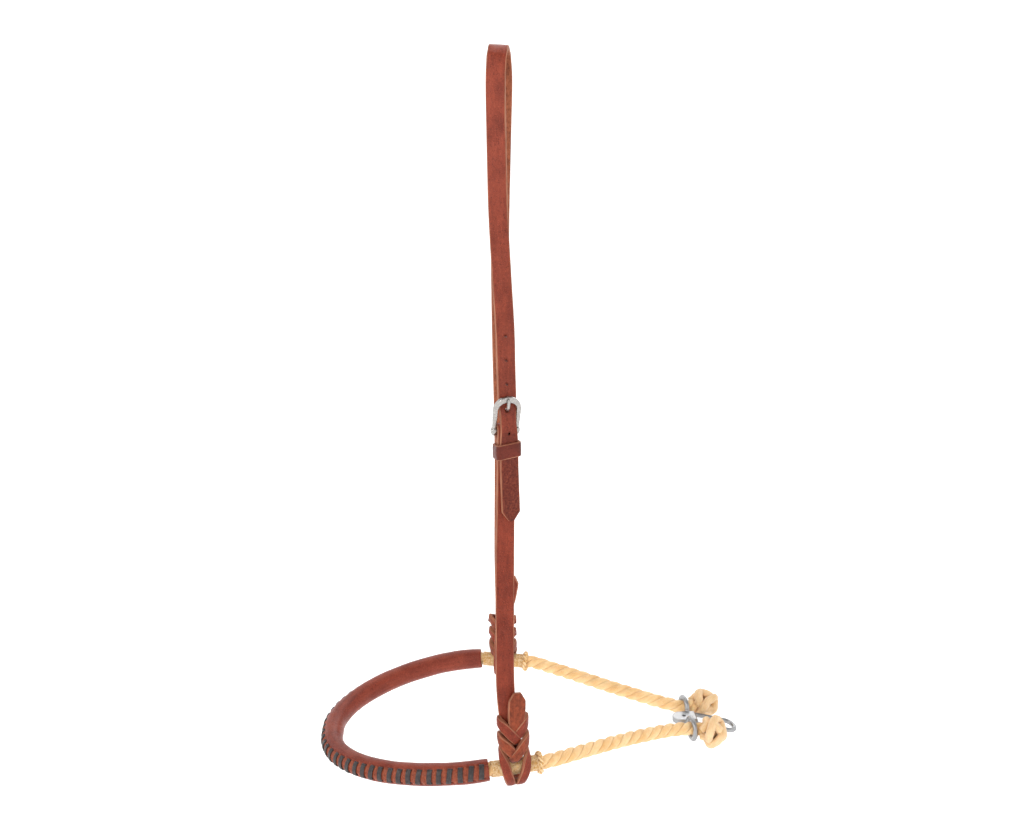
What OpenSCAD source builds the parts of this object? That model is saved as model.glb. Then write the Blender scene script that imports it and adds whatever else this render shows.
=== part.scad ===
// Rope tie-down noseband with a leather headstall, hung by its crown.
// X runs from the nose to the chin, -Y is the buckle side and Z is up.
// The origin is the centre of the crown's bend.

/* [Headstall] */
// Width of the cheek and crown straps
strap_w = 12.7; // [10:0.1:16]
// Thickness of the strap leather
strap_t = 3; // [2.4:0.1:3.4]
// Inner radius of the bend over the poll
crown_r = 10; // [8:0.5:14]
// Lean of each cheek strap away from upright, in degrees
lean = 7.6; // [6:0.1:10]
// Height of the crown's centre above the rope at the cheeks
drop = 469; // [440:1:500]

/* [Buckle] */
// Distance of the heel bar below the crown's centre
heel_drop = 233; // [215:1:250]
// Length of the frame from the heel bar to its top
frame_len = 25.5; // [24:0.1:28]
// Thickness of the frame
frame_t = 2.6; // [2:0.1:3]
// Radius of the heel bar
bar_r = 2; // [1.6:0.1:2.2]
// Height of the sliding keeper
keeper_h = 10; // [8:0.5:14]
// Distance between the billet's holes
hole_pitch = 15.9; // [12:0.1:20]
// Diameter of the billet's holes
hole_d = 3.2; // [2.5:0.1:4]

/* [Noseband] */
// Diameter of the rope
rope_d = 10; // [8:0.5:10]
// Wall of the leather nose cover
cover_t = 2.6; // [2:0.1:3]
// Width of the lacing
lace_w = 3.6; // [2.5:0.1:4.5]
// Height of one lacing stitch round the cover
stitch_h = 10.5; // [7:0.5:12]
// Gap between the rope's whipping and the leather round it
knot_slack = 2.3; // [2:0.1:3]

/* [Chin fitting] */
// Thickness of the cast rings
ring_wire = 3.7; // [3.2:0.1:4.5]
// Inner radius of the rope rings
ring_r = 6; // [5.8:0.1:7.5]
// Half the width of the tie-down loop, to the middle of its wire
loop_half = 6.8; // [6:0.1:7]

/* [Hidden] */
$fn = 48;

leather = [0.55, 0.25, 0.18];
thread = [0.80, 0.68, 0.48];
rope_tan = [0.95, 0.80, 0.55];
lace_black = [0.16, 0.14, 0.15];
steel = [0.72, 0.71, 0.69];

// The bend is a hair thicker than the straight runs, so that no faces are tangent.
bend_extra = 0.04;
crown_mid = crown_r + bend_extra + strap_t / 2;

// The near half of the rope's middle line, from the nose to the near end.
// The far half is its mirror image.
ROUTE = [[-133, 0, -15], [-132, 14, -14.7], [-127, 28, -13.9], [-119, 40, -12.6], [-109, 50.5, -11.1],
         [-97.5, 59, -9.4], [-85, 66, -7.7], [-72, 71.3, -6], [-58.5, 75.2, -4.4], [-45, 77.8, -3],
         [-31, 78.8, -1.7], [-17.5, 78, -0.7], [20, 71, -1.3], [40, 61.5, -3.1], [60, 50.5, -5.2],
         [80, 39.5, -7.6], [100, 29.5, -10.1], [120, 20.5, -12.8], [139, 15, -15.5], [147, 17, -15.5]];
COVER_END = 11;
NECK = 12;
RING_AT = 18;
rope_r = rope_d / 2;
cover_in = rope_r + 0.25;
cover_out = cover_in + cover_t;
whip_in = rope_r + 0.1;
whip_out = rope_r + 0.7;
knot_bore = whip_out + knot_slack;

function near(p) = [p[0], -p[1], p[2] - drop];
function far(p) = [p[0], p[1], p[2] - drop];
function near_run(first, last) = [for (i = [first:last]) near(ROUTE[i])];
function far_run(first, last) = [for (i = [first:last]) far(ROUTE[i])];
function reversed(list) = [for (i = [len(list) - 1:-1:0]) list[i]];

// A tube swept along points, as rings on the plane that halves each corner.
function unit(v) = v / norm(v);
function heading(pts, i) = unit(pts[min(i + 1, len(pts) - 1)] - pts[i]);
function trail(pts, i) = unit(pts[i] - pts[max(i - 1, 0)]);
function bend_axis(pts, i) =
    i == 0 ? heading(pts, 0) : i == len(pts) - 1 ? trail(pts, i) : unit(heading(pts, i) + trail(pts, i));
function ring_at(pts, i, r, n) =
    let (t = bend_axis(pts, i), side = unit(cross([0, 0, 1], t)), rise = cross(t, side),
         open = i == 0 || i == len(pts) - 1 ? 1 : 1 / (heading(pts, i) * t))
    [for (k = [0:n - 1]) pts[i] + r * (open * cos(360 * k / n) * side + sin(360 * k / n) * rise)];
function flat_list(lists) = [for (l = lists) for (v = l) v];
function side_faces(rings, n, base, flip) =
    [for (i = [0:rings - 2]) for (k = [0:n - 1])
        let (a = base + i * n + k, b = base + i * n + (k + 1) % n)
        flip ? [a, a + n, b + n, b] : [a, b, b + n, a + n]];

module tube(pts, r, n = 12) {
    last = (len(pts) - 1) * n;
    rings = flat_list([for (i = [0:len(pts) - 1]) ring_at(pts, i, r, n)]);
    ends = [[for (k = [n - 1:-1:0]) k], [for (k = [0:n - 1]) last + k]];
    polyhedron(points = rings, faces = concat(side_faces(len(pts), n, 0, false), ends), convexity = 10);
}

module sleeve(pts, r_in, r_out, n = 12) {
    size = len(pts) * n;
    outer = flat_list([for (i = [0:len(pts) - 1]) ring_at(pts, i, r_out, n)]);
    inner = flat_list([for (i = [0:len(pts) - 1]) ring_at(pts, i, r_in, n)]);
    last = size - n;
    start_cap = [for (k = [0:n - 1]) let (m = (k + 1) % n) [size + k, size + m, m, k]];
    end_cap = [for (k = [0:n - 1]) let (m = (k + 1) % n) [last + k, last + m, size + last + m, size + last + k]];
    polyhedron(points = concat(outer, inner),
               faces = concat(side_faces(len(pts), n, 0, false), side_faces(len(pts), n, size, true),
                              start_cap, end_cap), convexity = 10);
}

// Puts children, built along +Z, on the line from a to b.
module along(a, b) {
    d = b - a;
    translate(a)
        rotate([0, acos(d[2] / norm(d)), atan2(d[1], d[0])])
            children();
}

// Puts children in the near strap's frame at a height below the crown.
// Y is out from the cheek and Z runs up the strap, with the strap's middle at Y = 0.
module near_strap_frame(below) {
    rotate([-lean, 0, 0])
        translate([0, -crown_mid, -below / cos(lean) - crown_mid * tan(lean)])
            mirror([0, 1, 0])
                children();
}

// A strip whose side view is a line of [out, up] points of even thickness.
function strip_side(pts, t, sign) =
    [for (i = [0:len(pts) - 1])
        let (a = i == 0 ? unit(pts[1] - pts[0]) : unit(pts[i] - pts[i - 1]),
             b = i == len(pts) - 1 ? a : unit(pts[i + 1] - pts[i]), m = unit(a + b))
        pts[i] + sign * t / 2 / (m * a) * [-m[1], m[0]]];
module strip_profile(pts, t) {
    polygon(concat(strip_side(pts, t, 1), reversed(strip_side(pts, t, -1))));
}

// Gives a side view in Y and Z its width along X.
module widen(w) {
    translate([-w / 2, 0, 0])
        rotate([90, 0, 90])
            linear_extrude(w)
                children();
}

billet_out = strap_t + 0.1;
plait_up = 46;
tip_up = -61;
kink_low = 1;
kink_high = 16;
tongue_hole_up = 13.5;
crown_up = heel_drop / cos(lean);
straight_up = crown_up + crown_mid * tan(lean);
far_len = (drop - plait_up) / cos(lean) + crown_mid * tan(lean);
cheek_end_up = (heel_drop - drop + plait_up) / cos(lean);

BILLET = [[billet_out, tip_up], [billet_out, kink_low], [0, kink_high], [0, straight_up]];

module billet_hole(up) {
    translate([0, billet_out + strap_t, tongue_hole_up + up])
        rotate([90, 0, 0])
            cylinder(d = hole_d, h = 3 * strap_t);
}

// The tongue's hole is drawn out by use, as a slot.
slot_low = -2.6;
slot_high = 1.7;
module billet_holes() {
    for (i = [-1, 1, 2, 3])
        billet_hole(i * hole_pitch);
    billet_hole(slot_low);
    billet_hole(slot_high);
    translate([-0.45 * hole_d, -2 * strap_t, tongue_hole_up + slot_low])
        cube([0.9 * hole_d, 4 * strap_t, slot_high - slot_low]);
}

tip_angle = 32;
tip_depth = 3.2;
tip_cutter = 20;
module billet_tip_cuts() {
    for (s = [-1, 1])
        translate([s * strap_w / 2, 0, tip_up])
            rotate([0, s * tip_angle, 0])
                translate([-tip_cutter / 2, -strap_t, -tip_cutter])
                    cube([tip_cutter, 4 * strap_t, tip_cutter + tip_depth]);
}

// The side view of the strap's bend over the poll, which overlaps its two straight runs a little
bend_end = lean - 1;
module crown_bend() {
    intersection() {
        difference() {
            circle(crown_r + strap_t + 2 * bend_extra);
            circle(crown_r);
        }
        polygon([[0, 0], [60 * cos(bend_end), 60 * sin(bend_end)], [60, 60], [-60, 60],
                 [-60 * cos(bend_end), 60 * sin(bend_end)]]);
    }
}

module crown_profile() {
    crown_bend();
    rotate(lean)
        translate([crown_r + bend_extra, -far_len])
            square([strap_t, far_len]);
    rotate(-lean)
        translate([-crown_mid, -straight_up])
            mirror([1, 0])
                strip_profile(BILLET, strap_t);
}

module crown_strap() {
    color(leather)
        difference() {
            widen(strap_w)
                crown_profile();
            near_strap_frame(heel_drop) {
                billet_holes();
                billet_tip_cuts();
            }
        }
}

bar_play = 0.05;
fold_t = 2.2;
bar_out = strap_t / 2 - bar_play - bar_r - fold_t;
fold_r = bar_r + bar_play + fold_t;
fold_back = -strap_t / 2 - 0.1 - fold_t / 2;
fold_end_up = -34;
fold_slot = [5.4, 24, 12];
fold_slot_up = -4.4;

FOLD = [[fold_back, fold_end_up], [fold_back, -6], [bar_out - bar_r - bar_play - fold_t / 2, 0]];

module near_hanger() {
    color(leather)
        near_strap_frame(heel_drop)
            difference() {
                union() {
                    widen(strap_w)
                        strip_profile([[0, cheek_end_up], [0, 0]], strap_t);
                    widen(strap_w)
                        strip_profile(FOLD, fold_t);
                    translate([0, bar_out, 0])
                        rotate([0, 90, 0])
                            cylinder(r = fold_r, h = strap_w, center = true);
                }
                translate([0, bar_out, 0])
                    rotate([0, 90, 0])
                        cylinder(r = bar_r + bar_play, h = 2 * strap_w, center = true);
                translate([-fold_slot[0] / 2, -fold_slot[1] / 2, fold_slot_up])
                    cube(fold_slot);
            }
}

// One stitch: wide, standing off the leather, and long
stitch_size = [0.8, 0.32, 2];
stitch_row_x = 4.3;
stitch_pitch = 2.7;
stitch_first_up = -13;

module hanger_stitching() {
    color(thread)
        near_strap_frame(heel_drop)
            for (s = [-1, 1], i = [0:7])
                translate([s * stitch_row_x - stitch_size[0] / 2, fold_back - fold_t / 2 - stitch_size[1] - 0.03,
                           stitch_first_up - i * stitch_pitch])
                    cube(stitch_size);
}

frame_tilt = 20;
frame_out = 9.7;
frame_in = 6.85;
arch_up = frame_len - frame_out;
heel_in = 0.7;
boss_r = 3.1;

module frame_outline() {
    difference() {
        union() {
            translate([0, arch_up])
                circle(frame_out);
            polygon([[-frame_out, arch_up], [frame_out, arch_up], [frame_out - heel_in, 0], [heel_in - frame_out, 0]]);
        }
        translate([0, arch_up - 1])
            circle(frame_in);
        translate([-frame_in, -5])
            square([2 * frame_in, arch_up + 4]);
    }
}

module frame_frame() {
    near_strap_frame(heel_drop)
        translate([0, bar_out, 0])
            rotate([-frame_tilt, 0, 0])
                children();
}

module buckle_frame() {
    color(steel)
        frame_frame() {
            rotate([90, 0, 0])
                linear_extrude(frame_t, center = true)
                    frame_outline();
            rotate([0, 90, 0])
                cylinder(r = bar_r, h = 2 * frame_out + 1, center = true);
            for (s = [-1, 1])
                translate([s * (frame_in + frame_out) / 2, 0, 0])
                    rotate([0, 90, 0])
                        cylinder(r = boss_r, h = frame_out - frame_in, center = true);
        }
}

tongue_r = 1.2;
eye_wall = 1.4;
eye_w = 4.2;
TONGUE = [[bar_out, 2.6], [-2.1, 12.2], [6, 16.2], [8, 21.6]];

module buckle_tongue() {
    color(steel)
        near_strap_frame(heel_drop) {
            translate([0, bar_out, 0])
                rotate([0, 90, 0])
                    difference() {
                        cylinder(r = bar_r + eye_wall, h = eye_w, center = true);
                        cylinder(r = bar_r + bar_play, h = 2 * eye_w, center = true);
                    }
            for (i = [0:len(TONGUE) - 2]) {
                along([0, TONGUE[i][0], TONGUE[i][1]], [0, TONGUE[i + 1][0], TONGUE[i + 1][1]])
                    cylinder(r = tongue_r, h = norm(TONGUE[i + 1] - TONGUE[i]));
                translate([0, TONGUE[i + 1][0], TONGUE[i + 1][1]])
                    sphere(tongue_r * 1.06);
            }
        }
}

keeper_x = strap_w / 2 + 0.35;
keeper_wall = 2;
keeper_back = fold_back - fold_t / 2 - 0.7;
keeper_front = billet_out + strap_t / 2 + 0.4;
keeper_up = -7.7;

module rounded(x0, x1, y0, y1, r) {
    translate([x0, y0 + r])
        square([x1 - x0, y1 - y0 - 2 * r]);
    translate([x0 + r, y0])
        square([x1 - x0 - 2 * r, y1 - y0]);
    for (x = [x0 + r, x1 - r], y = [y0 + r, y1 - r])
        translate([x, y])
            circle(r);
}

module keeper_loop() {
    color(leather)
        near_strap_frame(heel_drop)
            translate([0, 0, keeper_up - keeper_h])
                linear_extrude(keeper_h)
                    difference() {
                        rounded(-keeper_x - keeper_wall, keeper_x + keeper_wall,
                                keeper_back - keeper_wall, keeper_front + keeper_wall, 2.4);
                        rounded(-keeper_x, keeper_x, keeper_back, keeper_front, 0.6);
                    }
}

seam_x = 2.2;
seam_len = 4;

module keeper_seam() {
    color(thread)
        near_strap_frame(heel_drop)
            for (s = [-1, 1])
                translate([s * seam_x - stitch_size[0] / 2, keeper_back - keeper_wall - stitch_size[1] - 0.05,
                           keeper_up - keeper_h / 2 - seam_len / 2])
                    cube([stitch_size[0], stitch_size[1], seam_len]);
}

// A blood knot: the leather ring round the rope, three crossings and the tail
knot_half = 10;
knot_wall = 3.2;
// Each crossing's arm: wide, deep and long
ARM = [6.4, 9.4, 18];
arm_angle = 38;
arm_first_up = 14;
arm_pitch = 11;
body_t = 8;
body_up = 6;
TAIL = [7.6, 3, 19];
tail_x = -1.5;
tail_out = 1.8;
tail_up = 36;
cross_here = (ROUTE[COVER_END] * ROUTE[NECK][0] - ROUTE[NECK] * ROUTE[COVER_END][0])
    / (ROUTE[NECK][0] - ROUTE[COVER_END][0]);
neck_dir = unit(ROUTE[NECK] - ROUTE[COVER_END]);
neck_turn = atan2(neck_dir[1], neck_dir[0]);
neck_dip = asin(neck_dir[2]);

module blood_knot() {
    difference() {
        union() {
            rotate([0, 90 - neck_dip, neck_turn])
                cylinder(r = knot_bore + knot_wall, h = 2 * knot_half, center = true);
            rotate([lean, 0, 0]) {
                for (i = [0:2], s = [-1, 1])
                    translate([0, 0, arm_first_up + arm_pitch * i])
                        rotate([0, s * arm_angle, 0])
                            cube(ARM, center = true);
                translate([-strap_w / 2, -body_t / 2, body_up])
                    cube([strap_w, body_t, plait_up - body_up]);
                translate([tail_x, tail_out, tail_up])
                    cube(TAIL);
            }
        }
        rotate([0, 90 - neck_dip, neck_turn])
            cylinder(r = knot_bore, h = 4 * knot_half, center = true);
    }
}

module far_blood_knot() {
    color(leather)
        translate(far(cross_here))
            blood_knot();
}

module near_blood_knot() {
    color(leather)
        mirror([0, 1, 0])
            translate(far(cross_here))
                blood_knot();
}

module nose_rope() {
    color(rope_tan)
        tube(concat(reversed(near_run(1, len(ROUTE) - 1)), far_run(0, len(ROUTE) - 1)), rope_r);
}

cover_run = concat(reversed(near_run(1, COVER_END)), far_run(0, COVER_END));

module nose_cover() {
    color(leather)
        sleeve(cover_run, cover_in, cover_out, 16);
}

// Each stitch is a band round the cover's outer face, a little above its middle.
stitch_arc = stitch_h / cover_out * 180 / PI;
stitch_lift = 20;
lace_t = 0.9;

module stitch() {
    rotate([0, 0, 90 - stitch_arc / 2 + stitch_lift])
        rotate_extrude(angle = stitch_arc)
            translate([cover_out + 0.05, -lace_w / 2])
                square([lace_t, lace_w]);
}

module nose_lacing() {
    color(lace_black)
        for (i = [0:len(cover_run) - 2], at = [0.25, 0.75]) {
            a = cover_run[i];
            b = cover_run[i + 1];
            d = b - a;
            translate(a + at * d)
                rotate([0, acos(d[2] / norm(d)), atan2(d[1], d[0])])
                    stitch();
        }
}

module neck_part(s) {
    if (s > 0)
        translate(far(cross_here))
            rotate([0, 90 - neck_dip, neck_turn])
                children();
    else
        mirror([0, 1, 0])
            translate(far(cross_here))
                rotate([0, 90 - neck_dip, neck_turn])
                    children();
}

whip_from = -16;
whip_to = 17;
stop_on = 1.7;
stop_round = 1.45;
stop_wire = 1.2;

module whipping() {
    color(thread)
        translate([0, 0, whip_from])
            difference() {
                cylinder(r = whip_out, h = whip_to - whip_from);
                translate([0, 0, -1])
                    cylinder(r = whip_in, h = whip_to - whip_from + 2);
            }
}

module stop_knot() {
    color(thread)
        translate([0, 0, whip_to + stop_on])
            rotate_extrude()
                translate([rope_r + stop_round, 0])
                    circle(stop_wire);
}

// The rope's strands, walled and crowned into a round knot behind the fitting
end_r = 6;
end_out = 3.8;
end_gap = 0.9;
wall_round = 5.2;
crown_on = 6.5;
crown_round = 4.4;

module end_knot() {
    color(rope_tan)
        translate(far(ROUTE[len(ROUTE) - 1]) + [end_r + end_gap, end_out, 0])
            rotate([0, 90, 0])
                rotate_extrude()
                    intersection() {
                        union() {
                            translate([wall_round, 0])
                                circle(end_r);
                            translate([crown_round, crown_on])
                                circle(end_r);
                        }
                        translate([0, -2 * end_r])
                            square(5 * end_r);
                    }
}

ring_mid = ring_r + ring_wire / 2;
ring_place = far(ROUTE[RING_AT]);
plate_t = 3.2;
plate_r = 6;
tag_hole_d = 2.6;
tag_hole_x = -3;
loop_tilt = 15;
loop_from = 6;
loop_to = 31;

module rope_ring() {
    translate([0, ring_place[1], 0])
        rotate([0, 90, 0])
            rotate_extrude()
                translate([ring_mid, 0])
                    circle(d = ring_wire);
}

// The tie-down loop: two side bars and a round end
module tie_loop() {
    for (s = [-1, 1])
        translate([loop_from, s * loop_half, 0])
            rotate([0, 90, 0])
                cylinder(d = ring_wire, h = loop_to - loop_from);
    translate([loop_to, 0, 0])
        rotate([0, 0, -90])
            rotate_extrude(angle = 180)
                translate([loop_half, 0])
                    circle(d = ring_wire);
    translate([loop_from, -loop_half, 0])
        rotate([-90, 0, 0])
            cylinder(d = ring_wire, h = 2 * loop_half);
    for (s = [-1, 1])
        translate([loop_from, s * loop_half, 0])
            sphere(d = ring_wire * 1.04);
}

module fitting_plate() {
    translate([-plate_r, 0, -plate_t / 2])
        cylinder(r = plate_r, h = plate_t);
    translate([-plate_r, -plate_r, -plate_t / 2])
        cube([plate_r + loop_from, 2 * plate_r, plate_t]);
}

module chin_fitting() {
    color(steel)
        translate([ring_place[0], 0, ring_place[2]])
            difference() {
                union() {
                    rope_ring();
                    mirror([0, 1, 0])
                        rope_ring();
                    fitting_plate();
                    rotate([0, loop_tilt, 0])
                        tie_loop();
                }
                translate([tag_hole_x, 0, -2 * plate_t])
                    cylinder(d = tag_hole_d, h = 4 * plate_t);
            }
}

crown_strap();
far_blood_knot();
near_hanger();
near_blood_knot();
hanger_stitching();
buckle_frame();
buckle_tongue();
keeper_loop();
keeper_seam();
nose_rope();
nose_cover();
nose_lacing();
neck_part(-1) whipping();  // near_whipping
neck_part(1) whipping();  // far_whipping
neck_part(-1) stop_knot();  // near_stop_knot
neck_part(1) stop_knot();  // far_stop_knot
mirror([0, 1, 0]) end_knot();  // near_end_knot
end_knot();  // far_end_knot
chin_fitting();
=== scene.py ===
import math

import bmesh
import bpy
import numpy as np
from mathutils import Matrix, Vector, noise


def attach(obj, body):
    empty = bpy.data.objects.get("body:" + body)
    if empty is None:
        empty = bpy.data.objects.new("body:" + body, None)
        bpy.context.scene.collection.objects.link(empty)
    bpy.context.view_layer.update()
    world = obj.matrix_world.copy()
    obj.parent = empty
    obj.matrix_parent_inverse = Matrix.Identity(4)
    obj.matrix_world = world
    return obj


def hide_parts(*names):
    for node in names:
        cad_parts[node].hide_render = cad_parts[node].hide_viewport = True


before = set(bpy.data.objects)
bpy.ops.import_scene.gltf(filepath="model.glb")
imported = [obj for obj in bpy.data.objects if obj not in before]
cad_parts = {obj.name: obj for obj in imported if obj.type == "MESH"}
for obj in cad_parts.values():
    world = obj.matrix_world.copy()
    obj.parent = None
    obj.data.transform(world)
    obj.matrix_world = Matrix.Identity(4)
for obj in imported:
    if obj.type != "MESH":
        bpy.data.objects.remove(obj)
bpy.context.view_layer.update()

MM = 0.001


# ---------------------------------------------------------------- camera
CAMERA_LENS = 40.87
CAMERA_TURN = (3.04, -17.2, -0.75)
CAMERA_PLACE = (-0.0351, -0.7784, 0.0098)


def make_camera():
    """The photograph's viewpoint: level with the crown, turned a little to the right and tilted down."""
    data = bpy.data.cameras.new("camera")
    data.sensor_width = 36
    data.lens = CAMERA_LENS
    data.clip_start = 0.01
    cam = bpy.data.objects.new("camera", data)
    bpy.context.scene.collection.objects.link(cam)
    yaw, pitch, roll = (math.radians(a) for a in CAMERA_TURN)
    ahead = Vector((math.sin(yaw) * math.cos(pitch), math.cos(yaw) * math.cos(pitch), math.sin(pitch)))
    right = Vector((math.cos(yaw), -math.sin(yaw), 0))
    up = right.cross(ahead)
    level_right = right * math.cos(roll) + up * math.sin(roll)
    level_up = up * math.cos(roll) - right * math.sin(roll)
    turn = Matrix((level_right, level_up, -ahead)).transposed()
    cam.matrix_world = Matrix.Translation(CAMERA_PLACE) @ turn.to_4x4()
    bpy.context.scene.camera = cam


make_camera()

# ---------------------------------------------------------------- sizes shared with the CAD, in metres
STRAP_W = 0.0127
STRAP_T = 0.003
CROWN_MID = 0.01154
LEAN = math.radians(7.6)
DROP = 0.469
HEEL_DROP = 0.233
BAR_OUT = -0.00275
ROPE_R = 0.005
COVER_IN = 0.00525
COVER_OUT = 0.00785
LACE_W = 0.0036
STITCH_H = 0.0106
WHIP_FROM, WHIP_TO = -0.016, 0.017

# The near half of the rope's middle line, from the nose to the near end, as in the CAD.
ROUTE = [(-.133, 0, -.015), (-.132, .014, -.0147), (-.127, .028, -.0139), (-.119, .040, -.0126),
         (-.109, .0505, -.0111), (-.0975, .059, -.0094), (-.085, .066, -.0077), (-.072, .0713, -.006),
         (-.0585, .0752, -.0044), (-.045, .0778, -.003), (-.031, .0788, -.0017), (-.0175, .078, -.0007),
         (.020, .071, -.0013), (.040, .0615, -.0031), (.060, .0505, -.0052), (.080, .0395, -.0076),
         (.100, .0295, -.0101), (.120, .0205, -.0128), (.139, .015, -.0155), (.147, .017, -.0155)]
COVER_END = 11
NECK = 12
RING_AT = 18


def side_point(point, side):
    """A route point in the row frame; side is -1 on the buckle side and 1 on the far side."""
    return (point[0], side * point[1], point[2] - DROP)


WHOLE_ROUTE = [side_point(p, -1) for p in reversed(ROUTE[1:])] + [side_point(p, 1) for p in ROUTE]
NOSE_INDEX = len(ROUTE) - 1


# ---------------------------------------------------------------- geometry helpers
def unit(v):
    return v / np.maximum(np.linalg.norm(v, axis=-1, keepdims=True), 1e-12)


def spline(points, per_span):
    """A Catmull-Rom curve through the points, with per_span steps to each span."""
    p = np.array(points, float)
    p = np.vstack([2 * p[0] - p[1], p, 2 * p[-1] - p[-2]])
    t = np.arange(per_span)[:, None] / per_span
    spans = []
    for i in range(1, len(p) - 2):
        a, b, c, d = p[i - 1], p[i], p[i + 1], p[i + 2]
        spans.append(0.5 * (2 * b + (c - a) * t + (2 * a - 5 * b + 4 * c - d) * t**2
                            + (3 * b - a - 3 * c + d) * t**3))
    return np.vstack([*spans, p[-2]])


def lengths(path):
    return np.concatenate([[0], np.cumsum(np.linalg.norm(np.diff(path, axis=0), axis=1))])


def resample(path, step, *extras):
    """The path at an even step, with any per-point extras carried along."""
    s = lengths(path)
    count = max(2, int(round(s[-1] / step)) + 1)
    at = np.linspace(0, s[-1], count)
    cols = [np.stack([np.interp(at, s, col) for col in np.array(e, float).reshape(len(s), -1).T], 1)
            for e in (path, *extras)]
    return cols[0] if not extras else cols


def tangents(path):
    return unit(np.gradient(path, axis=0))


def level_axes(path):
    """Axes across a path that runs more or less level: out sideways, and up."""
    t = tangents(path)
    side = unit(np.cross(np.array([0, 0, 1.0]), t))
    return side, np.cross(t, side)


def new_object(name, verts, faces, flow, slots, materials, smooth=True):
    """A mesh object whose flow attribute holds each vertex's place as if the piece lay straight."""
    mesh = bpy.data.meshes.new(name)
    mesh.from_pydata([tuple(v) for v in verts], [], faces)
    if flow is not None:
        made = mesh.attributes.new("flow", "FLOAT_VECTOR", "POINT")
        made.data.foreach_set("vector", np.asarray(flow, np.float32).ravel())
    for m in materials:
        mesh.materials.append(m)
    if slots is not None:
        mesh.polygons.foreach_set("material_index", slots)
    mesh.polygons.foreach_set("use_smooth", [smooth] * len(mesh.polygons))
    mesh.update()
    obj = bpy.data.objects.new(name, mesh)
    bpy.context.scene.collection.objects.link(obj)
    return obj


class Sheaf:
    """Collects swept strips and tubes into one mesh."""

    def __init__(self):
        self.verts, self.flow, self.faces, self.slots = [], [], [], []

    def add(self, rings, flows, slot_of=None, closed=False, caps=True, cap_slot=0):
        """rings is an array of rings of points; slot_of gives a face's material by its place in the ring."""
        rings, flows = np.asarray(rings), np.asarray(flows)
        m, n = rings.shape[:2]
        base = sum(len(v) for v in self.verts)
        self.verts.append(rings.reshape(-1, 3))
        self.flow.append(flows.reshape(-1, 3))
        spans = m if closed else m - 1
        for i in range(spans):
            a, b = base + i * n, base + ((i + 1) % m) * n
            for k in range(n):
                k2 = (k + 1) % n
                self.faces.append((a + k, b + k, b + k2, a + k2))
                self.slots.append(slot_of(k) if slot_of else 0)
        if caps and not closed:
            self.faces.append(tuple(base + k for k in range(n)))
            self.faces.append(tuple(base + (m - 1) * n + k for k in range(n - 1, -1, -1)))
            self.slots += [cap_slot, cap_slot]

    def build(self, name, materials):
        obj = new_object(name, np.vstack(self.verts), self.faces, np.vstack(self.flow), self.slots, materials)
        fix = bmesh.new()
        fix.from_mesh(obj.data)
        bmesh.ops.recalc_face_normals(fix, faces=fix.faces)
        fix.to_mesh(obj.data)
        fix.free()
        return obj


def round_tube(sheaf, path, radius, sides=10, side_axis=None, start=0.0, taper=0.0, slot=0):
    """A round tube along a path. radius may be a number or one value for each point."""
    t = tangents(path)
    side = side_axis if side_axis is not None else carried_axes(path)
    rise = np.cross(t, side)
    r = np.broadcast_to(np.asarray(radius, float), (len(path),)).copy()
    if taper:
        s = lengths(path)
        near_end = np.clip(np.minimum(s, s[-1] - s) / taper, 0.02, 1)
        r = r * np.sqrt(1 - (1 - near_end) ** 2)
    a = np.linspace(0, 2 * math.pi, sides, endpoint=False)
    around = np.cos(a)[None, :, None] * side[:, None] + np.sin(a)[None, :, None] * rise[:, None]
    rings = path[:, None] + r[:, None, None] * around
    s = lengths(path)[:, None] + start
    flows = np.stack([np.broadcast_to(s, (len(path), sides)), r[:, None] * np.cos(a),
                      r[:, None] * np.sin(a)], 2)
    sheaf.add(rings, flows, (lambda k: slot) if slot else None, cap_slot=slot)


def carried_axes(path):
    """One axis across the path, carried along it with no twist."""
    t = tangents(path)
    first = np.cross(t[0], [0, 0, 1.0] if abs(t[0][2]) < 0.9 else [1.0, 0, 0])
    axis = [first / np.linalg.norm(first)]
    for i in range(1, len(path)):
        v = axis[-1] - t[i] * (axis[-1] @ t[i])
        axis.append(v / np.linalg.norm(v))
    return np.array(axis)


def strap_outline(width, thick, corner=0.0006, across=9):
    """A strap's section, as (across, through) points, and each edge's side: 0 grain, 1 flesh, 2 cut."""
    half, t = width / 2, thick / 2
    c = min(corner, 0.45 * thick)
    points, sides = [], []
    for x in np.linspace(-half + c, half - c, across):
        points.append((x, t))
        sides.append(0)
    for a in (60, 30):
        points.append((half - c + c * math.cos(math.radians(a)), t - c + c * math.sin(math.radians(a))))
        sides.append(2)
    points += [(half, t - c), (half, 0), (half, c - t)]
    sides += [2, 2, 2]
    for a in (-30, -60):
        points.append((half - c + c * math.cos(math.radians(a)), c - t + c * math.sin(math.radians(a))))
        sides.append(2)
    for x in np.linspace(half - c, c - half, across):
        points.append((x, -t))
        sides.append(1)
    for a in (-120, -150):
        points.append((c - half + c * math.cos(math.radians(a)), c - t + c * math.sin(math.radians(a))))
        sides.append(2)
    points += [(-half, c - t), (-half, 0), (-half, t - c)]
    sides += [2, 2, 2]
    for a in (150, 120):
        points.append((c - half + c * math.cos(math.radians(a)), t - c + c * math.sin(math.radians(a))))
        sides.append(2)
    sides[across - 1] = 2
    sides[2 * across + 6] = 2
    return np.array(points), sides


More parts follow.
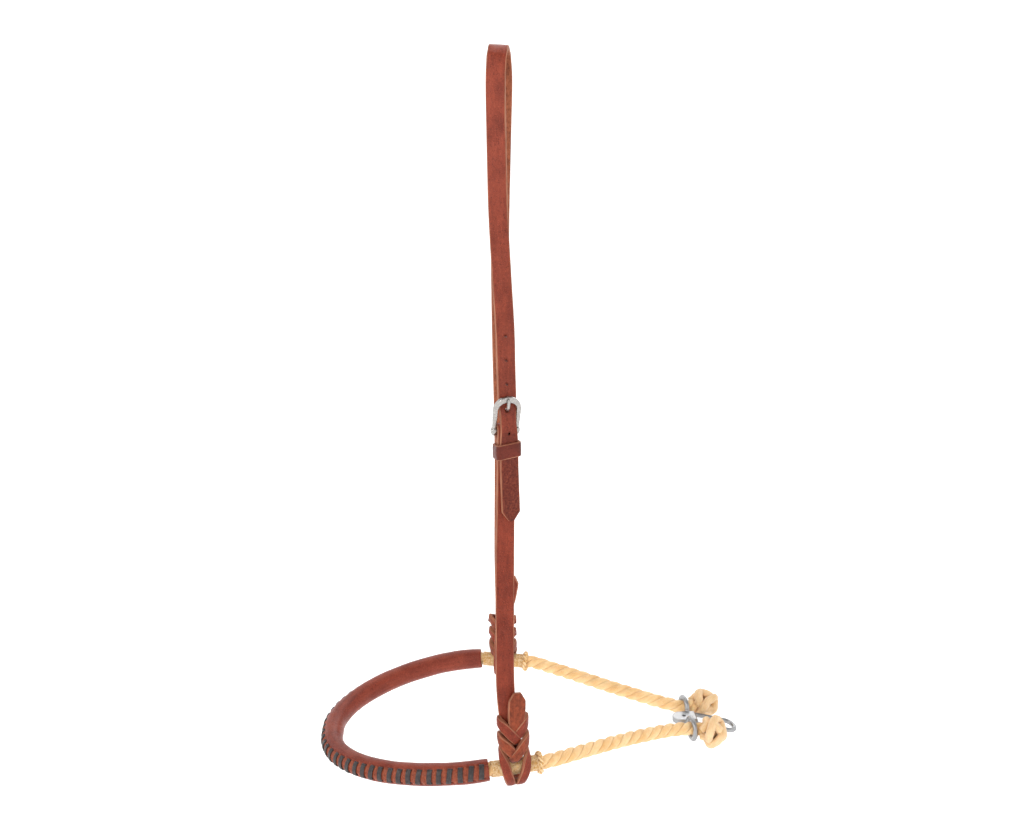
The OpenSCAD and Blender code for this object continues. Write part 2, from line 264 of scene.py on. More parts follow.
def ribbon(sheaf, path, normals, width=STRAP_W, thick=STRAP_T, start=0.0, flesh_out=False, widths=None,
           thicks=None, wobble=0.00012, seed=0.0, shifts=None, dome=0.00018):
    """A leather strip along a path, its grain side facing along normals."""
    t = tangents(path)
    n = unit(normals - t * np.sum(normals * t, 1, keepdims=True))
    side = np.cross(t, n)
    outline, sides = strap_outline(width, thick)
    w = np.ones(len(path)) if widths is None else np.asarray(widths) / width
    h = np.ones(len(path)) if thicks is None else np.asarray(thicks) / thick
    shift = np.zeros(len(path)) if shifts is None else np.asarray(shifts)
    flip = -1 if flesh_out else 1
    s = lengths(path) + start
    rings, flows = [], []
    for i in range(len(path)):
        a = outline[:, 0] * w[i] + shift[i]
        b = outline[:, 1] * h[i]
        bumpy = np.array([noise.noise(Vector((s[i] * 160, x * 260, seed + 7 * np.sign(y))))
                          for x, y in zip(a, b)])
        b = b + wobble * bumpy * np.sign(outline[:, 1])
        crown = dome * (1 - (outline[:, 0] / (width / 2)) ** 2)
        b = b + crown * np.sign(outline[:, 1]) * (np.abs(outline[:, 1]) > 0.4 * thick)
        rings.append(path[i] + np.outer(a, side[i]) + np.outer(b, n[i]))
        flows.append(np.stack([np.full(len(a), s[i]), a, b * flip], 1))
    if flesh_out:
        swap = {0: 1, 1: 0, 2: 2}
        sheaf.add(rings, flows, lambda k: swap[sides[k]], cap_slot=2)
    else:
        sheaf.add(rings, flows, lambda k: sides[k], cap_slot=2)


def cut(obj, cutters):
    """Cuts the cutters out of obj and removes them."""
    for c in cutters:
        m = obj.modifiers.new("cut", "BOOLEAN")
        m.operation = "DIFFERENCE"
        m.object = c
        m.solver = "EXACT"
        m.material_mode = "TRANSFER"
    apply_modifiers(obj)
    for c in cutters:
        bpy.data.objects.remove(c)


def apply_modifiers(obj):
    bpy.context.view_layer.update()
    done = bpy.data.meshes.new_from_object(obj.evaluated_get(bpy.context.evaluated_depsgraph_get()))
    old = obj.data
    obj.modifiers.clear()
    obj.data = done
    bpy.data.meshes.remove(old)


def rod(name, a, b, radius, materials, sides=32):
    """A straight round cutter from a to b."""
    sheaf = Sheaf()
    round_tube(sheaf, np.array([a, (np.array(a) + np.array(b)) / 2, b], float), radius, sides)
    return sheaf.build(name, materials)


# ---------------------------------------------------------------- materials
class Nodes:
    """A short way to write a node material."""

    def __init__(self, name):
        self.mat = bpy.data.materials.new(name)
        self.mat.use_nodes = True
        self.tree = self.mat.node_tree
        self.shader = self.tree.nodes["Principled BSDF"]

    def put(self, kind, **values):
        node = self.tree.nodes.new(kind)
        for k, v in values.items():
            setattr(node, k, v)
        return node

    def link(self, a, b):
        self.tree.links.new(a, b)

    def flow(self, scale=(1, 1, 1), attribute="flow"):
        source = self.put("ShaderNodeAttribute", attribute_name=attribute)
        mapping = self.put("ShaderNodeMapping")
        mapping.inputs["Scale"].default_value = scale
        self.link(source.outputs["Vector"], mapping.inputs["Vector"])
        return mapping.outputs["Vector"]

    def place(self, scale=(1, 1, 1)):
        source = self.put("ShaderNodeTexCoord")
        mapping = self.put("ShaderNodeMapping")
        mapping.inputs["Scale"].default_value = scale
        self.link(source.outputs["Object"], mapping.inputs["Vector"])
        return mapping.outputs["Vector"]

    def noise(self, where, scale, detail=3.0, rough=0.55, warp=0.0):
        node = self.put("ShaderNodeTexNoise")
        node.inputs["Scale"].default_value = scale
        node.inputs["Detail"].default_value = detail
        node.inputs["Roughness"].default_value = rough
        node.inputs["Distortion"].default_value = warp
        self.link(where, node.inputs["Vector"])
        return node.outputs["Fac"]

    def cells(self, where, scale, feature="F1", out="Distance"):
        node = self.put("ShaderNodeTexVoronoi", feature=feature)
        node.inputs["Scale"].default_value = scale
        self.link(where, node.inputs["Vector"])
        return node.outputs[out]

    def ramp(self, value, *stops):
        """stops are (position, grey) or (position, (r, g, b))."""
        node = self.put("ShaderNodeValToRGB")
        elements = node.color_ramp.elements
        while len(elements) < len(stops):
            elements.new(0.5)
        for e, (at, c) in zip(elements, stops):
            e.position = at
            e.color = (*c, 1) if hasattr(c, "__len__") else (c, c, c, 1)
        self.link(value, node.inputs["Fac"])
        return node.outputs["Color"]

    def mix(self, fac, a, b, mode="MIX"):
        node = self.put("ShaderNodeMix", data_type="RGBA", blend_type=mode)
        for socket, value in ((node.inputs[0], fac), (node.inputs[6], a), (node.inputs[7], b)):
            if hasattr(value, "is_linked"):
                self.link(value, socket)
            elif hasattr(value, "__len__"):
                socket.default_value = (*value, 1)
            else:
                socket.default_value = value
        return node.outputs[2]

    def math(self, how, a, b=0.0):
        node = self.put("ShaderNodeMath", operation=how)
        for socket, value in ((node.inputs[0], a), (node.inputs[1], b)):
            if hasattr(value, "is_linked"):
                self.link(value, socket)
            else:
                socket.default_value = value
        return node.outputs[0]

    def bump(self, height, strength, distance, normal=None):
        node = self.put("ShaderNodeBump")
        node.inputs["Strength"].default_value = strength
        node.inputs["Distance"].default_value = distance
        self.link(height, node.inputs["Height"])
        if normal is not None:
            self.link(normal, node.inputs["Normal"])
        return node.outputs["Normal"]

    def finish(self, color, rough, normal=None, **constants):
        for name, value in (("Base Color", color), ("Roughness", rough), ("Normal", normal)):
            if value is None:
                continue
            if hasattr(value, "is_linked"):
                self.link(value, self.shader.inputs[name])
            elif hasattr(value, "__len__"):
                self.shader.inputs[name].default_value = (*value, 1)
            else:
                self.shader.inputs[name].default_value = value
        for name, value in constants.items():
            self.shader.inputs[name.replace("_", " ")].default_value = value
        return self.mat


def grain_leather(name, dark, light, shine=0.42, wear_and_painted_light=None):
    """Oiled harness leather: a fine pebbled grain, soft blotches, small scratches, pores and small painted highlight
    glints, with an optional tone mixed in by a mask that holds wear and painted light and shade.
    """
    n = Nodes(name)
    flow = n.flow()
    blotch = n.noise(flow, 55, 4, 0.6)
    streak = n.noise(n.flow((60, 420, 420)), 1.0, 4, 0.6)
    pebble = n.cells(flow, 1500)
    fine = n.noise(flow, 1900, 3, 0.6)
    # Painted highlights: small pale glints scattered over the grain.
    painted_glints = n.ramp(n.noise(flow, 1300, 2, 0.6), (0.56, 0.0), (0.70, 1.0))
    color = n.mix(n.ramp(blotch, (0.3, 0.0), (0.7, 1.0)), dark, light)
    color = n.mix(n.math("MULTIPLY", n.ramp(streak, (0.45, 0.0), (0.75, 1.0)), 0.35), color,
                  tuple(c * 1.5 for c in light))
    pores = n.ramp(n.noise(flow, 900, 2, 0.7), (0.30, 1.0), (0.42, 0.0))
    color = n.mix(n.math("MULTIPLY", pores, 0.7), color, tuple(c * 0.30 for c in dark))
    color = n.mix(n.math("MULTIPLY", painted_glints, 0.30), color, tuple(min(1, c * 2.4) for c in light))
    # An optional tone mixed in by a mask attribute: painted shade on the near cheek's billet, and wear with painted
    # highlights along the nose cover's seam.
    if wear_and_painted_light is not None:
        wear_and_light_mask = n.put("ShaderNodeAttribute", attribute_name="painted_light_and_wear")
        patches = n.ramp(n.noise(flow, 700, 4, 0.7), (0.35, 0.25), (0.6, 1.0))
        patchy = n.math("MULTIPLY", wear_and_light_mask.outputs["Fac"], patches)
        color = n.mix(patchy, color, wear_and_painted_light)
    rough = n.ramp(n.noise(flow, 240, 3), (0.3, shine - 0.06), (0.7, shine + 0.12))
    normal = n.bump(pebble, 0.5, 0.0003)
    normal = n.bump(fine, 0.45, 0.0002, normal)
    normal = n.bump(blotch, 0.25, 0.0008, normal)
    return n.finish(color, rough, normal, Specular_IOR_Level=0.22)


def flesh_leather(name, dark, light):
    """The back of the leather: brushed, fibrous and dull."""
    n = Nodes(name)
    flow = n.flow((1, 1, 1))
    fibre = n.noise(n.flow((240, 900, 900)), 1.0, 5, 0.7, 0.6)
    clump = n.noise(flow, 420, 4, 0.65)
    color = n.mix(n.ramp(clump, (0.32, 0.0), (0.68, 1.0)), dark, light)
    color = n.mix(n.ramp(fibre, (0.42, 0.0), (0.72, 0.6)), color, tuple(min(1, c * 1.6) for c in light))
    normal = n.bump(fibre, 0.6, 0.0003)
    normal = n.bump(clump, 0.5, 0.0005, normal)
    return n.finish(color, 0.86, normal, Specular_IOR_Level=0.2, Sheen_Weight=0.25)


def edge_leather(name, dark, light):
    """A cut, rubbed edge, with the layers of the hide along it."""
    n = Nodes(name)
    layers = n.noise(n.flow((60, 400, 2600)), 1.0, 3, 0.6)
    color = n.mix(n.ramp(layers, (0.35, 0.0), (0.65, 1.0)), dark, light)
    return n.finish(color, 0.62, n.bump(layers, 0.4, 0.0002), Specular_IOR_Level=0.3)


def rope_fibre(name, deep, pale, yarns=7.0, twist=420.0):
    """Hard laid synthetic strand: fine yarns that turn the other way, slightly waxy and fuzzy."""
    n = Nodes(name)
    raw = n.put("ShaderNodeAttribute", attribute_name="flow")
    parts = n.put("ShaderNodeSeparateXYZ")
    n.link(raw.outputs["Vector"], parts.inputs[0])
    angle = n.math("ARCTAN2", parts.outputs[2], parts.outputs[1])
    phase = n.math("ADD", n.math("MULTIPLY", angle, yarns), n.math("MULTIPLY", parts.outputs[0], twist))
    ridges = n.math("ABSOLUTE", n.math("SINE", phase))
    tufts = n.noise(n.flow(), 1300, 4, 0.7)
    patches = n.noise(n.flow(), 120, 3, 0.6)
    color = n.mix(n.ramp(patches, (0.3, 0.0), (0.7, 1.0)), deep, pale)
    # Painted shade: darker in the grooves between the yarns.
    color = n.mix(n.math("MULTIPLY", n.ramp(ridges, (0.0, 1.0), (0.35, 0.0)), 0.28), color,
                  tuple(c * 0.62 for c in deep))
    color = n.mix(n.math("MULTIPLY", n.ramp(tufts, (0.5, 0.0), (0.75, 1.0)), 0.4), color, (0.97, 0.80, 0.55))
    # Painted shade: darker on each strand's side turned in towards its neighbours, and on the end knot's core.
    inner_painted_shade = n.put("ShaderNodeAttribute", attribute_name="inner_painted_shade")
    color = n.mix(n.math("MULTIPLY", inner_painted_shade.outputs["Fac"], 0.75), color, tuple(c * 0.55 for c in deep))
    normal = n.bump(ridges, 0.45, 0.00025)
    normal = n.bump(tufts, 0.4, 0.0002, normal)
    return n.finish(color, 0.66, normal, Specular_IOR_Level=0.3, Sheen_Weight=0.3, Subsurface_Weight=0.06,
                    Subsurface_Scale=0.001)


def lace_leather(name):
    """Flat dark latigo lace, slightly waxed."""
    n = Nodes(name)
    flow = n.flow()
    color = n.mix(n.ramp(n.noise(flow, 500, 4, 0.6), (0.3, 0.0), (0.7, 1.0)), (0.016, 0.012, 0.013),
                  (0.058, 0.044, 0.043))
    normal = n.bump(n.noise(n.flow((300, 900, 900)), 1.0, 4, 0.6), 0.35, 0.0002)
    return n.finish(color, 0.5, normal, Specular_IOR_Level=0.4)


def twine(name, deep, pale):
    """Waxed twine, two-ply, with its own small twist."""
    n = Nodes(name)
    raw = n.put("ShaderNodeAttribute", attribute_name="flow")
    parts = n.put("ShaderNodeSeparateXYZ")
    n.link(raw.outputs["Vector"], parts.inputs[0])
    angle = n.math("ARCTAN2", parts.outputs[2], parts.outputs[1])
    phase = n.math("ADD", angle, n.math("MULTIPLY", parts.outputs[0], 1800.0))
    ply = n.math("ABSOLUTE", n.math("SINE", phase))
    color = n.mix(n.ramp(n.noise(n.place(), 620, 3, 0.7), (0.40, 0.0), (0.60, 1.0)), deep, pale)
    normal = n.bump(ply, 0.6, 0.00025)
    return n.finish(color, 0.6, normal, Specular_IOR_Level=0.3, Sheen_Weight=0.2)


def steel(name, tone, rough, brush):
    """Stainless steel, tumbled or satin brushed, with faint scratches and handling marks."""
    n = Nodes(name)
    where = n.place()
    smear = n.noise(where, 260, 4, 0.6)
    lines = n.noise(n.place(brush), 1.0, 4, 0.7)
    color = n.mix(n.ramp(smear, (0.3, 0.0), (0.75, 1.0)), tuple(c * 0.86 for c in tone), tone)
    roughness = n.ramp(lines, (0.3, rough - 0.07), (0.72, rough + 0.14))
    normal = n.bump(lines, 0.12, 0.00008)
    normal = n.bump(n.noise(where, 620, 3), 0.10, 0.0002, normal)
    return n.finish(color, roughness, normal, Metallic=1.0)


GRAIN = grain_leather("strap_grain", (0.160, 0.026, 0.013), (0.270, 0.051, 0.026))
FLESH = flesh_leather("strap_flesh", (0.120, 0.030, 0.014), (0.300, 0.088, 0.040))
EDGE = edge_leather("strap_edge", (0.200, 0.056, 0.028), (0.430, 0.170, 0.092))
# Its paler tone stands for wear along the seam and for painted highlights on the puckered leather beside the
# stitches.
COVER = grain_leather("cover_grain", (0.150, 0.023, 0.012), (0.250, 0.045, 0.023), 0.36,
                      wear_and_painted_light=(0.40, 0.110, 0.046))
LACE = lace_leather("lace_dark")
ROPE = rope_fibre("rope_strand", (0.800, 0.450, 0.165), (0.950, 0.680, 0.360))
KNOT_ROPE = rope_fibre("rope_end", (0.700, 0.430, 0.190), (0.860, 0.600, 0.340))
TWINE = twine("whipping_twine", (0.640, 0.340, 0.090), (0.900, 0.680, 0.400))
THREAD = twine("sewing_thread", (0.330, 0.170, 0.080), (0.560, 0.340, 0.170))
# Darker than the strap leather, as painted shade on the keeper.
KEEPER = grain_leather("keeper_grain", (0.070, 0.011, 0.006), (0.135, 0.021, 0.011), 0.38)
# Its darker tone is painted shade, laid on the lower near cheek and the billet by the mask.
STRAP_GRAIN = grain_leather("strap_grain", (0.160, 0.025, 0.012), (0.280, 0.052, 0.026), 0.42,
                            wear_and_painted_light=(0.080, 0.011, 0.005))
BUCKLE_STEEL = steel("buckle_satin", (0.44, 0.42, 0.40), 0.25, (40, 900, 900))
CAST_STEEL = steel("cast_steel", (0.38, 0.38, 0.385), 0.34, (500, 500, 500))
LEATHER = [GRAIN, FLESH, EDGE]
KNOT_LEATHER = [grain_leather("knot_grain", (0.130, 0.017, 0.007), (0.240, 0.038, 0.017)),
                flesh_leather("knot_flesh", (0.095, 0.019, 0.008), (0.265, 0.052, 0.020)), EDGE]


# ---------------------------------------------------------------- places on the straps
TURN = math.radians(14)


def smooth(x):
    x = min(max(x, 0.0), 1.0)
    return x * x * (3 - 2 * x)


def turn_at(up):
    """How far the strap, the buckle and the billet are turned towards the chin at a height."""
    return TURN * smooth((up + 0.085) / 0.022) * (1 - smooth((up - 0.024) / 0.045))


def near_dir(x, out, up, at):
    """A direction in the row frame from its parts across, out and up, at a height on the near strap."""
    a = turn_at(at)
    x, out = x * math.cos(a) + out * math.sin(a), out * math.cos(a) - x * math.sin(a)
    c, s = math.cos(LEAN), math.sin(LEAN)
    return np.array([x, s * up - c * out, c * up + s * out])


def near_strap(x, out, up):
    """A point in the row frame from its place on the near strap: out from the cheek, up from the bar."""
    a = turn_at(up)
    x, out = x * math.cos(a) + out * math.sin(a), out * math.cos(a) - x * math.sin(a)
    y = -out - CROWN_MID
    z = up - HEEL_DROP / math.cos(LEAN) - CROWN_MID * math.tan(LEAN)
    c, s = math.cos(LEAN), math.sin(LEAN)
    return np.array([x, c * y + s * z, -s * y + c * z])


def near_up(z):
    """How far up the near strap a height lies, from the heel bar."""
    return (z + HEEL_DROP) / math.cos(LEAN)


def knot_frame(side):
    """Where a cheek strap meets the rope, and the axes along the rope, out from the cheek and up."""
    a, b = np.array(ROUTE[COVER_END]), np.array(ROUTE[NECK])
    middle = a + (b - a) * (-a[0] / (b[0] - a[0]))
    origin = np.array(side_point(middle, side))
    along = unit(np.array([b[0] - a[0], side * (b[1] - a[1]), b[2] - a[2]]))
    up = np.array([0, -side * math.sin(LEAN), math.cos(LEAN)])
    out = unit(np.cross(along, up)) * (1 if side < 0 else -1)
    out = unit(out - along * (out @ along))
    return origin, along, out, unit(up - out * (up @ out))


# ---------------------------------------------------------------- rope
LAY = 0.0270
STRAND_R = 0.00256
STRAND_OUT = 0.00256


def rope_centre(step=0.0011):
    return resample(spline(WHOLE_ROUTE, 24), step)


def make_rope():
    """One rope of three laid strands, from end to end, through the cover."""
    path = rope_centre()
    side, rise = level_axes(path)
    s = lengths(path)
    sheaf = Sheaf()
    # Each strand's painted shade on its inward side, kept as a mask for the rope material.
    inner_painted_shade = []
    for strand in range(3):
        turn = -2 * math.pi * s / LAY + strand * 2 * math.pi / 3
        out = np.cos(turn)[:, None] * side + np.sin(turn)[:, None] * rise
        middle = path + STRAND_OUT * out
        t = tangents(middle)
        across = unit(out - t * np.sum(out * t, 1, keepdims=True))
        inner_painted_shade.append(sweep_strand(sheaf, middle, across, s))
    rope = sheaf.build("nose_rope_strands", [ROPE])
    mark(rope, "inner_painted_shade", np.concatenate(inner_painted_shade))
    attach(rope, "noseband")
    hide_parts("nose_rope")
    return rope


def sweep_strand(sheaf, middle, across, s, radius=STRAND_R, sides=16, yarns=5):
    """A strand, pressed a little flat against its neighbours, with yarns standing up on it; gives each vertex's
    painted shade, darkest on the side turned in towards the rope's middle.
    """
    t = tangents(middle)
    up = np.cross(t, across)
    a = np.linspace(0, 2 * math.pi, sides, endpoint=False)
    swell = 1 + 0.035 * np.cos(yarns * a[None, :] + s[:, None] * 900)
    wide = radius * swell * np.cos(a)[None, :]
    tall = radius * 1.1 * swell * np.sin(a)[None, :]
    rings = middle[:, None] + wide[..., None] * across[:, None] + tall[..., None] * up[:, None]
    flows = np.stack([np.broadcast_to(s[:, None], wide.shape), wide, tall], 2)
    sheaf.add(rings, flows)
    # Painted shade, strongest on the inward side where the strands press together.
    return np.broadcast_to(np.clip(0.62 - np.cos(a), 0, 1)[None, :] ** 2, wide.shape).ravel()


def mark(obj, name, values):
    made = obj.data.attributes.new(name, "FLOAT", "POINT")
    made.data.foreach_set("value", np.asarray(values, np.float32).ravel())


# ---------------------------------------------------------------- nose cover and lacing
STITCH_HALF = 0.5 * STITCH_H / COVER_OUT
# Where the seam lies round the cover, in degrees above its outermost line, from the near end to the far end.
SEAM_SHARES = (0, 0.08, 0.2, 0.28, 0.36, 0.45, 0.55, 1)
SEAM_LIFTS = (28, 20, 15, 12, 7, 2, -6, -14)


def cover_path():
    points = WHOLE_ROUTE[NOSE_INDEX - COVER_END: NOSE_INDEX + COVER_END + 1]
    path = resample(spline(points, 24), 0.0006)
    s = lengths(path)
    stitches = 0.0018 + (s[-1] - 0.0036) * (np.arange(44) + 0.5) / 44
    seam = np.radians(np.interp(s / s[-1], SEAM_SHARES, SEAM_LIFTS))
    return path, stitches, seam


def make_cover():
    """The leather sleeve, puckered where the lacing pulls its edges together."""
    path, stitches, seam = cover_path()
    side, rise = level_axes(path)
    s = lengths(path)
    sides = 96
    off = np.linspace(-math.pi, math.pi, sides, endpoint=False)
    angle = seam[:, None] + off[None, :]
    nearest = np.min(np.abs(s[:, None] - stitches[None, :]), axis=1)
    pitch = np.mean(np.diff(stitches))
    between = smooth_array((nearest - 0.5 * LACE_W) / (0.5 * pitch - 0.5 * LACE_W))
    between = between * (np.minimum(s, s[-1] - s) > 0.5 * pitch)
    inside = smooth_array((STITCH_HALF * 1.06 - np.abs(off)) / 0.09)
    row = np.exp(-((np.abs(off) - STITCH_HALF) / 0.11) ** 2)
    groove = np.exp(-(off / 0.05) ** 2)
    r = np.full((len(s), sides), COVER_OUT)
    r += (0.00042 * between[:, None] - 0.00022) * inside[None, :]
    r -= 0.00085 * row[None, :] * (1 - between[:, None])
    r += 0.00035 * (row * (np.abs(off) > STITCH_HALF))[None, :] * between[:, None]
    r -= 0.00075 * groove[None, :] * between[:, None]
    mouth = np.exp(-np.minimum(s, s[-1] - s) / 0.0025)
    r -= (0.0004 * mouth)[:, None]
    soft = np.array([[noise.noise(Vector((x * 55, math.cos(a) * 0.9, math.sin(a) * 0.9))) for a in off]
                     for x in s])
    fine = np.array([[noise.noise(Vector((x * 700, a * 9, 5))) for a in off] for x in s])
    r += 0.00028 * soft + 0.00022 * fine * inside[None, :]
    sheaf = Sheaf()
    outer, outer_flow = ring_set(path, side, rise, s, angle, r)
    inner, inner_flow = ring_set(path, side, rise, s, angle, np.full_like(r, COVER_IN + 0.00015))
    rings = np.concatenate([inner[::-1], outer])
    flows = np.concatenate([inner_flow[::-1], outer_flow])
    sheaf.add(rings, flows, closed=True)
    n, m = sides, len(path)
    for k in range(n):
        sheaf.slots[(m - 1) * n + k] = 1
        sheaf.slots[(2 * m - 1) * n + k] = 1
    cover = sheaf.build("nose_cover_leather", [COVER, EDGE])
    # Wear along the seam, with painted highlights: a pale line beside each stitch, on the puckers between stitches
    # and along the slit rows between them.
    edge_lit = np.exp(-((nearest - 0.5 * LACE_W - 0.0003) / 0.0004) ** 2)
    wear_and_painted_light = inside[None, :] * (0.2 + 0.25 * between[:, None] + 0.55 * edge_lit[:, None])
    wear_and_painted_light = wear_and_painted_light + 0.5 * row * between[:, None]
    wear_and_painted_light = np.clip(wear_and_painted_light, 0, 1)
    mark(cover, "painted_light_and_wear", np.concatenate([np.zeros_like(wear_and_painted_light), wear_and_painted_light]))
    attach(cover, "noseband")
    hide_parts("nose_cover")
    return path, stitches, seam


def smooth_array(x):
    x = np.clip(x, 0, 1)
    return x * x * (3 - 2 * x)


def ring_set(path, side, rise, s, angle, r):
    around = np.cos(angle)[..., None] * side[:, None] + np.sin(angle)[..., None] * rise[:, None]
    rings = path[:, None] + r[..., None] * around
    flows = np.stack([np.broadcast_to(s[:, None], r.shape), r * np.cos(angle), r * np.sin(angle)], 2)
    return rings, flows


def make_lacing(path, stitches, seam):
    """Flat lace over the seam: each stitch lies across it and goes down a slit at each end."""
    side, rise = level_axes(path)
    t = tangents(path)
    s = lengths(path)
    sheaf = Sheaf()
    turn_rows = [-1.0, -0.998, -0.985, -0.93, -0.8, -0.6, -0.4, -0.2, 0,
                 0.2, 0.4, 0.6, 0.8, 0.93, 0.985, 0.998, 1.0]
    rise_rows = [-1.7, -0.9, -0.1, 0.22, 0.32, 0.34, 0.36, 0.36, 0.36,
                 0.36, 0.36, 0.34, 0.32, 0.22, -0.1, -0.9, -1.7]
    for number, at in enumerate(stitches):
        i = int(np.argmin(np.abs(s - at)))
        turn = np.array(turn_rows) * STITCH_HALF
        r = COVER_OUT + MM * np.array(rise_rows)
        angle = turn + seam[i]
        out = np.cos(angle)[:, None] * side[i] + np.sin(angle)[:, None] * rise[i]
        lean_over = 0.0007 + 0.0003 * math.sin(number * 2.4)
        shift = (lean_over * turn / STITCH_HALF + 0.00025 * math.sin(number * 1.7))[:, None] * t[i]
        ribbon(sheaf, path[i] + r[:, None] * out - shift, out, LACE_W, 0.0009, wobble=0.00005, seed=number * 3.1,
               start=number * 0.02, dome=0.0)
    lacing = sheaf.build("nose_lace", [LACE, LACE, LACE])
    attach(lacing, "noseband")
    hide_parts("nose_lacing")


# ---------------------------------------------------------------- whippings and stop knots
def neck_axes(side):
    a, b = np.array(side_point(ROUTE[COVER_END], side)), np.array(side_point(ROUTE[NECK], side))
    along = unit(b - a)
    middle = a + (b - a) * (-a[0] / (b[0] - a[0]))
    across = unit(np.cross([0, 0, 1.0], along))
    return middle, along, across, np.cross(along, across)


def make_whipping(side, label):
    """Twine wound tight on the rope, from inside the cover to the stop knot."""
    middle, along, across, rise = neck_axes(side)
    pitch, twine_r = 0.00098, 0.0005
    turns = (WHIP_TO - WHIP_FROM) / pitch
    a = np.linspace(0, 2 * math.pi * turns, int(turns * 22))
    r = ROPE_R + 0.00022 + 0.00012 * np.sin(3 * a + a / turns)
    at = WHIP_FROM + pitch * a / (2 * math.pi)
    round_rope = np.cos(a)[:, None] * across + np.sin(a)[:, None] * rise
    path = middle + at[:, None] * along + r[:, None] * round_rope
    sheaf = Sheaf()
    round_tube(sheaf, path, twine_r, 6)
    whip = sheaf.build(label + "_whipping_twine", [TWINE])
    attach(whip, "noseband")
    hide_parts(label + "_whipping")


def make_stop_knot(side, label):
    """A ring of two twisted cords round the rope, behind the blood knot."""
    middle, along, across, rise = neck_axes(side)
    centre = middle + (WHIP_TO + 0.0017) * along
    sheaf = Sheaf()
    twists = 5.5
    for cord in range(2):
        a = np.linspace(0, 2 * math.pi, 150)
        lay = twists * a + cord * math.pi
        r = ROPE_R + 0.00135 + 0.00075 * np.cos(lay)
        path = (centre + 0.00100 * np.sin(lay)[:, None] * along
                + r[:, None] * (np.cos(a)[:, None] * across + np.sin(a)[:, None] * rise))
        round_tube(sheaf, path, 0.00100, 10)
    knot = sheaf.build(label + "_stop_knot_cord", [TWINE])
    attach(knot, "noseband")
    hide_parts(label + "_stop_knot")


# ---------------------------------------------------------------- end knots
# One strand's way through the knot: along the rope, out from its middle, and round it in degrees.
# One strand's way through an end knot: along the rope and out from it in millimetres, and round it in degrees.
STRAND_WAY = [(-3, 2.4, -30), (0.5, 3.6, -8), (2.6, 6.2, 22), (3.2, 8.0, 62), (5.2, 8.5, 104),
              (9.4, 8.3, 138), (13.0, 6.3, 172), (14.6, 3.4, 222), (13.2, 4.4, 292), (9.2, 7.2, 330),
              (5.2, 7.0, 356), (3.0, 4.0, 380)]
KNOT_STRAND_R = 0.00305


def make_end_knot(side, label):
    """The rope's three strands, walled and crowned into a lumpy round knot."""
    end = np.array(side_point(ROUTE[-1], side)) + np.array([0.0006, side * 0.0032, 0])
    squash, stretch, start = (0.92, 1.14, 20) if side < 0 else (1.12, 0.96, 75)
    sheaf = Sheaf()
    inner_painted_shade = []
    for strand in range(3):
        way = []
        for number, (x, r, degrees) in enumerate(STRAND_WAY):
            a = math.radians(degrees + 120 * strand + start) * -1
            stray = 0.55 * math.sin(2.3 * number + 4.1 * strand + start)
            way.append(end + MM * np.array([x * squash + stray, (r + stray) * 0.93 * math.cos(a),
                                            (r - stray) * stretch * math.sin(a)]))
        path = resample(spline(way, 20), 0.0005)
        s = lengths(path)
        fat = KNOT_STRAND_R * np.interp(s, [0, 0.008, s[-1] - 0.006, s[-1]], [0.84, 1.0, 1.0, 0.8])
        # The knot's strands carry no painted shade; its core, seen only deep between them, is evenly darkened as
        # painted shade.
        inner_painted_shade.append(sweep_strand(sheaf, path, carried_axes(path), s, fat[:, None], sides=20) * 0)
    core = end + np.array([[x, 0, 0] for x in np.linspace(0.0015, 0.0105, 10)])
    heart = 0.0048 * np.sqrt(np.clip(1 - np.linspace(-0.98, 0.98, 10) ** 2, 0, 1))
    hidden = sweep_strand(sheaf, core, carried_axes(core), lengths(core), heart[:, None], sides=20)
    inner_painted_shade.append(hidden * 0 + 0.8)
    knot = sheaf.build(label + "_end_knot_strands", [KNOT_ROPE])
    mark(knot, "inner_painted_shade", np.concatenate(inner_painted_shade))
    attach(knot, "noseband")
    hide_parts(label + "_end_knot")


# ---------------------------------------------------------------- straps
def strap_path(rows, step):
    """rows are a point, a twist in degrees and its grain side's way; gives the path and its normals."""
    dense = spline(np.array(rows, float), 16)
    path, twist, facing = resample(dense[:, :3], step, dense[:, 3:4], dense[:, 4:7])
    t = tangents(path)
    n = unit(facing - t * np.sum(facing * t, 1, keepdims=True))
    side = np.cross(t, n)
    a = np.radians(twist)
    return path, n * np.cos(a) + side * np.sin(a)


PLAIT_IN = 0.011


def billet_painted_shade(place, buckle_z):
    """How much painted shade the near cheek gets: more lower down towards the buckle, and most on the billet."""
    if place.y >= 0:
        return 0.0
    dark_from, dark_over, above_buckle = -0.03, 0.25, 0.55
    share = np.clip((dark_from - place.z) / dark_over, 0, 1)
    return share * (above_buckle if place.z > buckle_z else 1.0)


